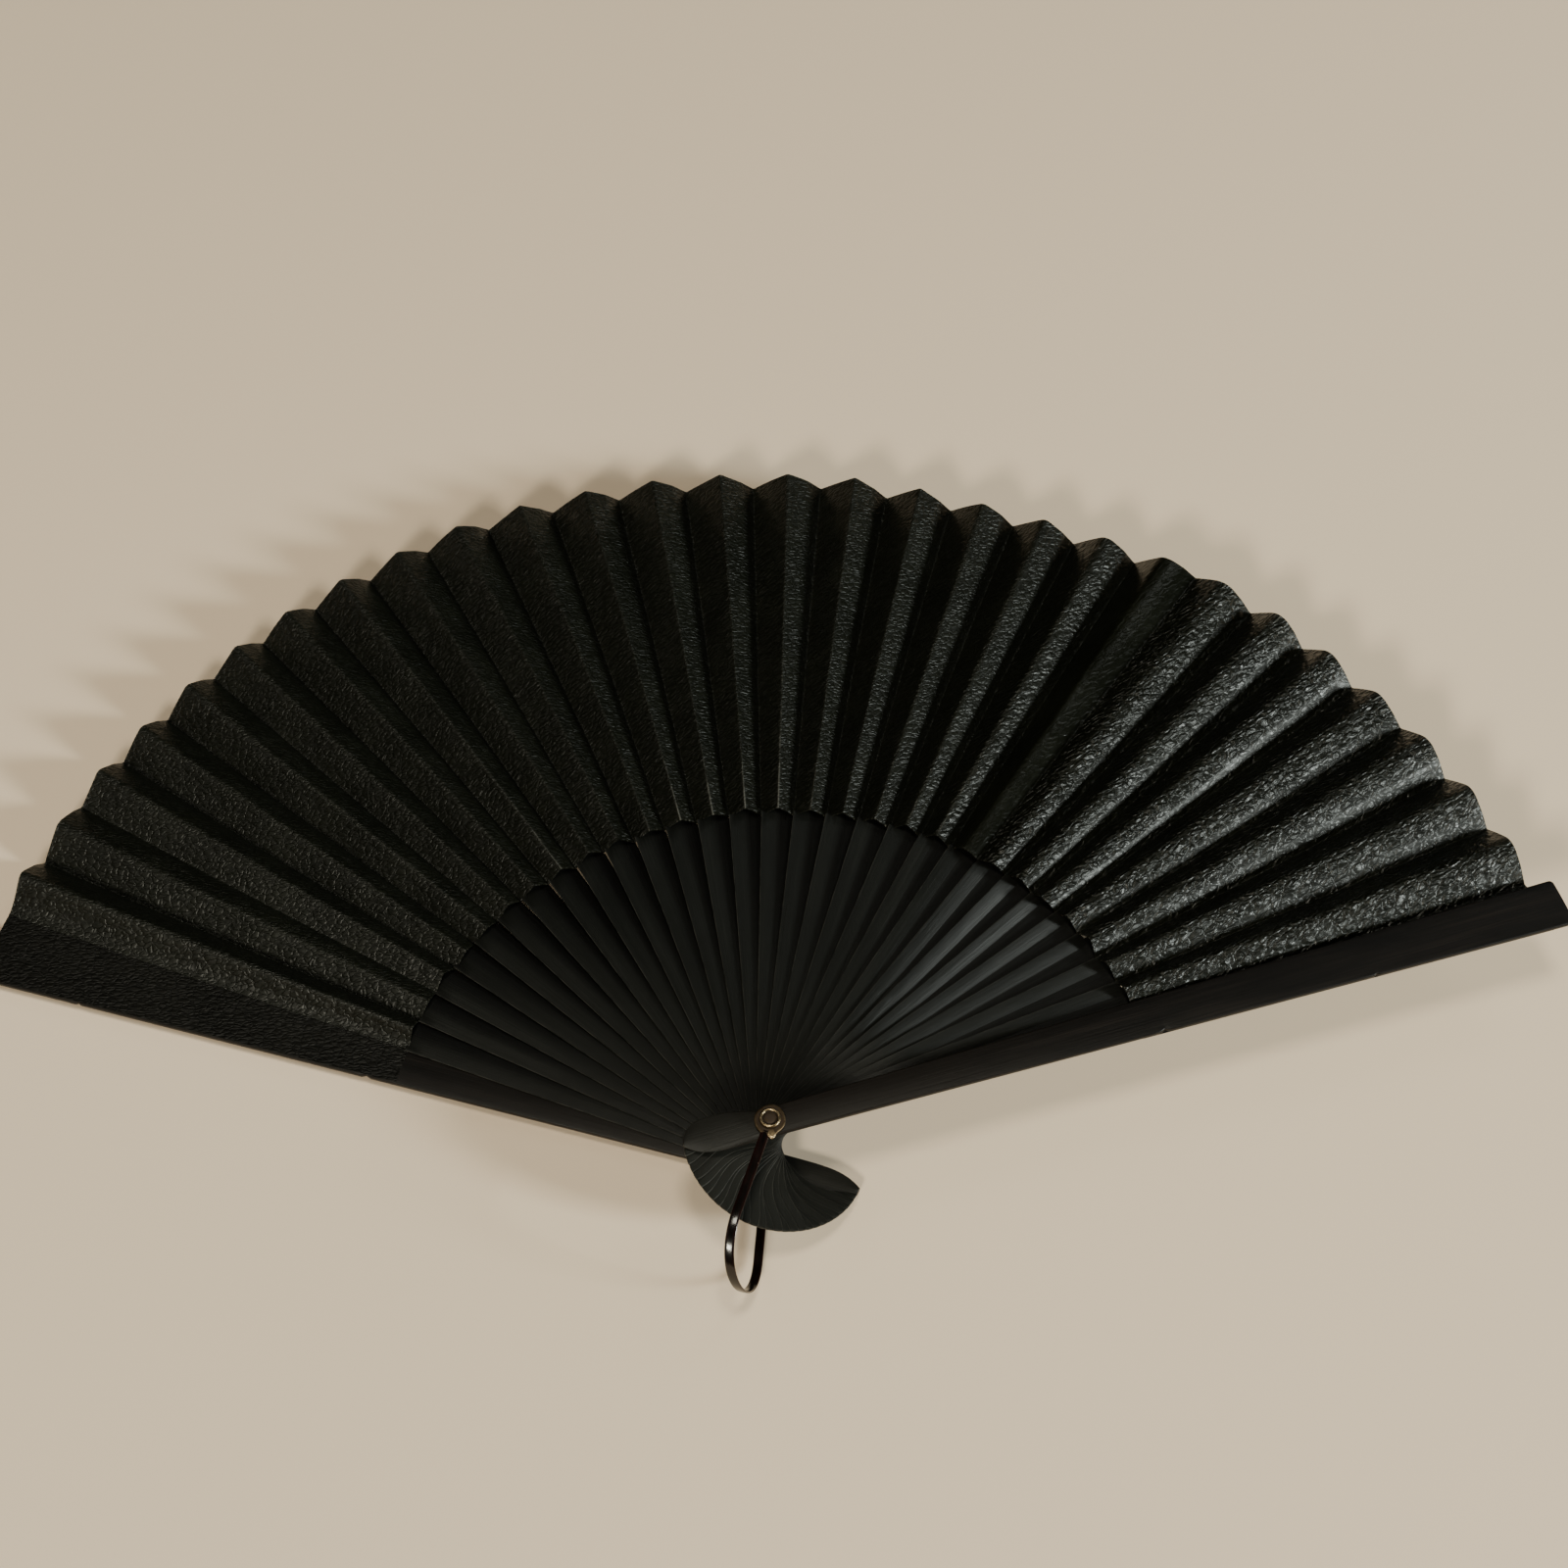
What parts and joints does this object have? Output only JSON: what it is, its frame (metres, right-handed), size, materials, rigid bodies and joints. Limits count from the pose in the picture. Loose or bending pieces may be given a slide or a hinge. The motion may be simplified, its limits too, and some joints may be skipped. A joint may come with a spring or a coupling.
{
  "type": "folding fan",
  "caption": "Handheld folding fan: dark wooden sticks and guards turning on one brass rivet, a pleated black paper leaf, and a strip bail round the tails.",
  "frame": {"origin": "on the rivet's axis, at the flat rear face of the rivet", "axes": "+Z along the rivet, from the rear guard to the front guard; +Y along the middle of the open leaf; +X towards the front guard"},
  "size_m": [0.39, 0.2329, 0.0274],
  "materials": {
    "guard": "dark stained, satin",
    "rib": "black stained bamboo, satin",
    "leaf": "embossed black paper, semi-gloss",
    "brass": "dull, aged",
    "bail_strip": "dark red-brown lacquer, glossy"
  },
  "bodies": {
    "rear_guard": {"rear_guard": "guard", "rivet": "brass"},
    "rib_01": {"rib_01": "rib", "leaf_01": "leaf"},
    "rib_02": {"rib_02": "rib", "leaf_02": "leaf"},
    "rib_03": {"rib_03": "rib", "leaf_03": "leaf"},
    "rib_04": {"rib_04": "rib", "leaf_04": "leaf"},
    "rib_05": {"rib_05": "rib", "leaf_05": "leaf"},
    "rib_06": {"rib_06": "rib", "leaf_06": "leaf"},
    "rib_07": {"rib_07": "rib", "leaf_07": "leaf"},
    "rib_08": {"rib_08": "rib", "leaf_08": "leaf"},
    "rib_09": {"rib_09": "rib", "leaf_09": "leaf"},
    "rib_10": {"rib_10": "rib", "leaf_10": "leaf"},
    "rib_11": {"rib_11": "rib", "leaf_11": "leaf"},
    "rib_12": {"rib_12": "rib", "leaf_12": "leaf"},
    "rib_13": {"rib_13": "rib", "leaf_13": "leaf"},
    "rib_14": {"rib_14": "rib", "leaf_14": "leaf"},
    "rib_15": {"rib_15": "rib", "leaf_15": "leaf"},
    "rib_16": {"rib_16": "rib", "leaf_16": "leaf"},
    "rib_17": {"rib_17": "rib", "leaf_17": "leaf"},
    "rib_18": {"rib_18": "rib", "leaf_18": "leaf"},
    "rib_19": {"rib_19": "rib", "leaf_19": "leaf"},
    "rib_20": {"rib_20": "rib", "leaf_20": "leaf"},
    "rib_21": {"rib_21": "rib", "leaf_21": "leaf"},
    "rib_22": {"rib_22": "rib", "leaf_22": "leaf"},
    "rib_23": {"rib_23": "rib", "leaf_23": "leaf"},
    "rib_24": {"rib_24": "rib", "leaf_24": "leaf"},
    "rib_25": {"rib_25": "rib", "leaf_25": "leaf"},
    "rib_26": {"rib_26": "rib", "leaf_26": "leaf"},
    "rib_27": {"rib_27": "rib", "leaf_27": "leaf"},
    "rib_28": {"rib_28": "rib", "leaf_28": "leaf"},
    "front_guard": {"front_guard": "guard"},
    "bail": {"bail": "bail_strip"}
  },
  "joints": [
    {"name": "fold", "type": "hinge", "parent": "rear_guard", "child": "front_guard", "pos_m": [0, 0, 0], "axis": [0, 0, 1], "range_deg": [0, 146.45], "deforming": ["leaf_01", "leaf_02", "leaf_03", "leaf_04", "leaf_05", "leaf_06", "leaf_07", "leaf_08", "leaf_09", "leaf_10", "leaf_11", "leaf_12", "leaf_13", "leaf_14", "leaf_15", "leaf_16", "leaf_17", "leaf_18", "leaf_19", "leaf_20", "leaf_21", "leaf_22", "leaf_23", "leaf_24", "leaf_25", "leaf_26", "leaf_27", "leaf_28"]},
    {"name": "rib_01_turn", "type": "hinge", "parent": "rear_guard", "child": "rib_01", "pos_m": [0, 0, 0], "axis": [0, 0, 1], "range_deg": [0, 6.32]},
    {"name": "rib_02_turn", "type": "hinge", "parent": "rear_guard", "child": "rib_02", "pos_m": [0, 0, 0], "axis": [0, 0, 1], "range_deg": [0, 11.37]},
    {"name": "rib_03_turn", "type": "hinge", "parent": "rear_guard", "child": "rib_03", "pos_m": [0, 0, 0], "axis": [0, 0, 1], "range_deg": [0, 16.42]},
    {"name": "rib_04_turn", "type": "hinge", "parent": "rear_guard", "child": "rib_04", "pos_m": [0, 0, 0], "axis": [0, 0, 1], "range_deg": [0, 21.47]},
    {"name": "rib_05_turn", "type": "hinge", "parent": "rear_guard", "child": "rib_05", "pos_m": [0, 0, 0], "axis": [0, 0, 1], "range_deg": [0, 26.52]},
    {"name": "rib_06_turn", "type": "hinge", "parent": "rear_guard", "child": "rib_06", "pos_m": [0, 0, 0], "axis": [0, 0, 1], "range_deg": [0, 31.57]},
    {"name": "rib_07_turn", "type": "hinge", "parent": "rear_guard", "child": "rib_07", "pos_m": [0, 0, 0], "axis": [0, 0, 1], "range_deg": [0, 36.62]},
    {"name": "rib_08_turn", "type": "hinge", "parent": "rear_guard", "child": "rib_08", "pos_m": [0, 0, 0], "axis": [0, 0, 1], "range_deg": [0, 41.67]},
    {"name": "rib_09_turn", "type": "hinge", "parent": "rear_guard", "child": "rib_09", "pos_m": [0, 0, 0], "axis": [0, 0, 1], "range_deg": [0, 46.72]},
    {"name": "rib_10_turn", "type": "hinge", "parent": "rear_guard", "child": "rib_10", "pos_m": [0, 0, 0], "axis": [0, 0, 1], "range_deg": [0, 51.77]},
    {"name": "rib_11_turn", "type": "hinge", "parent": "rear_guard", "child": "rib_11", "pos_m": [0, 0, 0], "axis": [0, 0, 1], "range_deg": [0, 56.82]},
    {"name": "rib_12_turn", "type": "hinge", "parent": "rear_guard", "child": "rib_12", "pos_m": [0, 0, 0], "axis": [0, 0, 1], "range_deg": [0, 61.87]},
    {"name": "rib_13_turn", "type": "hinge", "parent": "rear_guard", "child": "rib_13", "pos_m": [0, 0, 0], "axis": [0, 0, 1], "range_deg": [0, 66.92]},
    {"name": "rib_14_turn", "type": "hinge", "parent": "rear_guard", "child": "rib_14", "pos_m": [0, 0, 0], "axis": [0, 0, 1], "range_deg": [0, 71.97]},
    {"name": "rib_15_turn", "type": "hinge", "parent": "rear_guard", "child": "rib_15", "pos_m": [0, 0, 0], "axis": [0, 0, 1], "range_deg": [0, 77.02]},
    {"name": "rib_16_turn", "type": "hinge", "parent": "rear_guard", "child": "rib_16", "pos_m": [0, 0, 0], "axis": [0, 0, 1], "range_deg": [0, 82.07]},
    {"name": "rib_17_turn", "type": "hinge", "parent": "rear_guard", "child": "rib_17", "pos_m": [0, 0, 0], "axis": [0, 0, 1], "range_deg": [0, 87.12]},
    {"name": "rib_18_turn", "type": "hinge", "parent": "rear_guard", "child": "rib_18", "pos_m": [0, 0, 0], "axis": [0, 0, 1], "range_deg": [0, 92.17]},
    {"name": "rib_19_turn", "type": "hinge", "parent": "rear_guard", "child": "rib_19", "pos_m": [0, 0, 0], "axis": [0, 0, 1], "range_deg": [0, 97.22]},
    {"name": "rib_20_turn", "type": "hinge", "parent": "rear_guard", "child": "rib_20", "pos_m": [0, 0, 0], "axis": [0, 0, 1], "range_deg": [0, 102.27]},
    {"name": "rib_21_turn", "type": "hinge", "parent": "rear_guard", "child": "rib_21", "pos_m": [0, 0, 0], "axis": [0, 0, 1], "range_deg": [0, 107.32]},
    {"name": "rib_22_turn", "type": "hinge", "parent": "rear_guard", "child": "rib_22", "pos_m": [0, 0, 0], "axis": [0, 0, 1], "range_deg": [0, 112.37]},
    {"name": "rib_23_turn", "type": "hinge", "parent": "rear_guard", "child": "rib_23", "pos_m": [0, 0, 0], "axis": [0, 0, 1], "range_deg": [0, 117.42]},
    {"name": "rib_24_turn", "type": "hinge", "parent": "rear_guard", "child": "rib_24", "pos_m": [0, 0, 0], "axis": [0, 0, 1], "range_deg": [0, 122.47]},
    {"name": "rib_25_turn", "type": "hinge", "parent": "rear_guard", "child": "rib_25", "pos_m": [0, 0, 0], "axis": [0, 0, 1], "range_deg": [0, 127.52]},
    {"name": "rib_26_turn", "type": "hinge", "parent": "rear_guard", "child": "rib_26", "pos_m": [0, 0, 0], "axis": [0, 0, 1], "range_deg": [0, 132.57]},
    {"name": "rib_27_turn", "type": "hinge", "parent": "rear_guard", "child": "rib_27", "pos_m": [0, 0, 0], "axis": [0, 0, 1], "range_deg": [0, 137.62]},
    {"name": "rib_28_turn", "type": "hinge", "parent": "rear_guard", "child": "rib_28", "pos_m": [0, 0, 0], "axis": [0, 0, 1], "range_deg": [0, 142.67]},
    {"name": "bail_swing", "type": "hinge", "parent": "rear_guard", "child": "bail", "pos_m": [0, 0, 0], "axis": [0, 0, 1], "range_deg": [-75, 95]}
  ],
  "couplings": [
    {"joint": "rib_01_turn", "follows": "fold", "ratio": 0.043103},
    {"joint": "rib_02_turn", "follows": "fold", "ratio": 0.077586},
    {"joint": "rib_03_turn", "follows": "fold", "ratio": 0.11207},
    {"joint": "rib_04_turn", "follows": "fold", "ratio": 0.14655},
    {"joint": "rib_05_turn", "follows": "fold", "ratio": 0.18103},
    {"joint": "rib_06_turn", "follows": "fold", "ratio": 0.21552},
    {"joint": "rib_07_turn", "follows": "fold", "ratio": 0.25},
    {"joint": "rib_08_turn", "follows": "fold", "ratio": 0.28448},
    {"joint": "rib_09_turn", "follows": "fold", "ratio": 0.31897},
    {"joint": "rib_10_turn", "follows": "fold", "ratio": 0.35345},
    {"joint": "rib_11_turn", "follows": "fold", "ratio": 0.38793},
    {"joint": "rib_12_turn", "follows": "fold", "ratio": 0.42241},
    {"joint": "rib_13_turn", "follows": "fold", "ratio": 0.4569},
    {"joint": "rib_14_turn", "follows": "fold", "ratio": 0.49138},
    {"joint": "rib_15_turn", "follows": "fold", "ratio": 0.52586},
    {"joint": "rib_16_turn", "follows": "fold", "ratio": 0.56034},
    {"joint": "rib_17_turn", "follows": "fold", "ratio": 0.59483},
    {"joint": "rib_18_turn", "follows": "fold", "ratio": 0.62931},
    {"joint": "rib_19_turn", "follows": "fold", "ratio": 0.66379},
    {"joint": "rib_20_turn", "follows": "fold", "ratio": 0.69828},
    {"joint": "rib_21_turn", "follows": "fold", "ratio": 0.73276},
    {"joint": "rib_22_turn", "follows": "fold", "ratio": 0.76724},
    {"joint": "rib_23_turn", "follows": "fold", "ratio": 0.80172},
    {"joint": "rib_24_turn", "follows": "fold", "ratio": 0.83621},
    {"joint": "rib_25_turn", "follows": "fold", "ratio": 0.87069},
    {"joint": "rib_26_turn", "follows": "fold", "ratio": 0.90517},
    {"joint": "rib_27_turn", "follows": "fold", "ratio": 0.93966},
    {"joint": "rib_28_turn", "follows": "fold", "ratio": 0.97414}
  ]
}
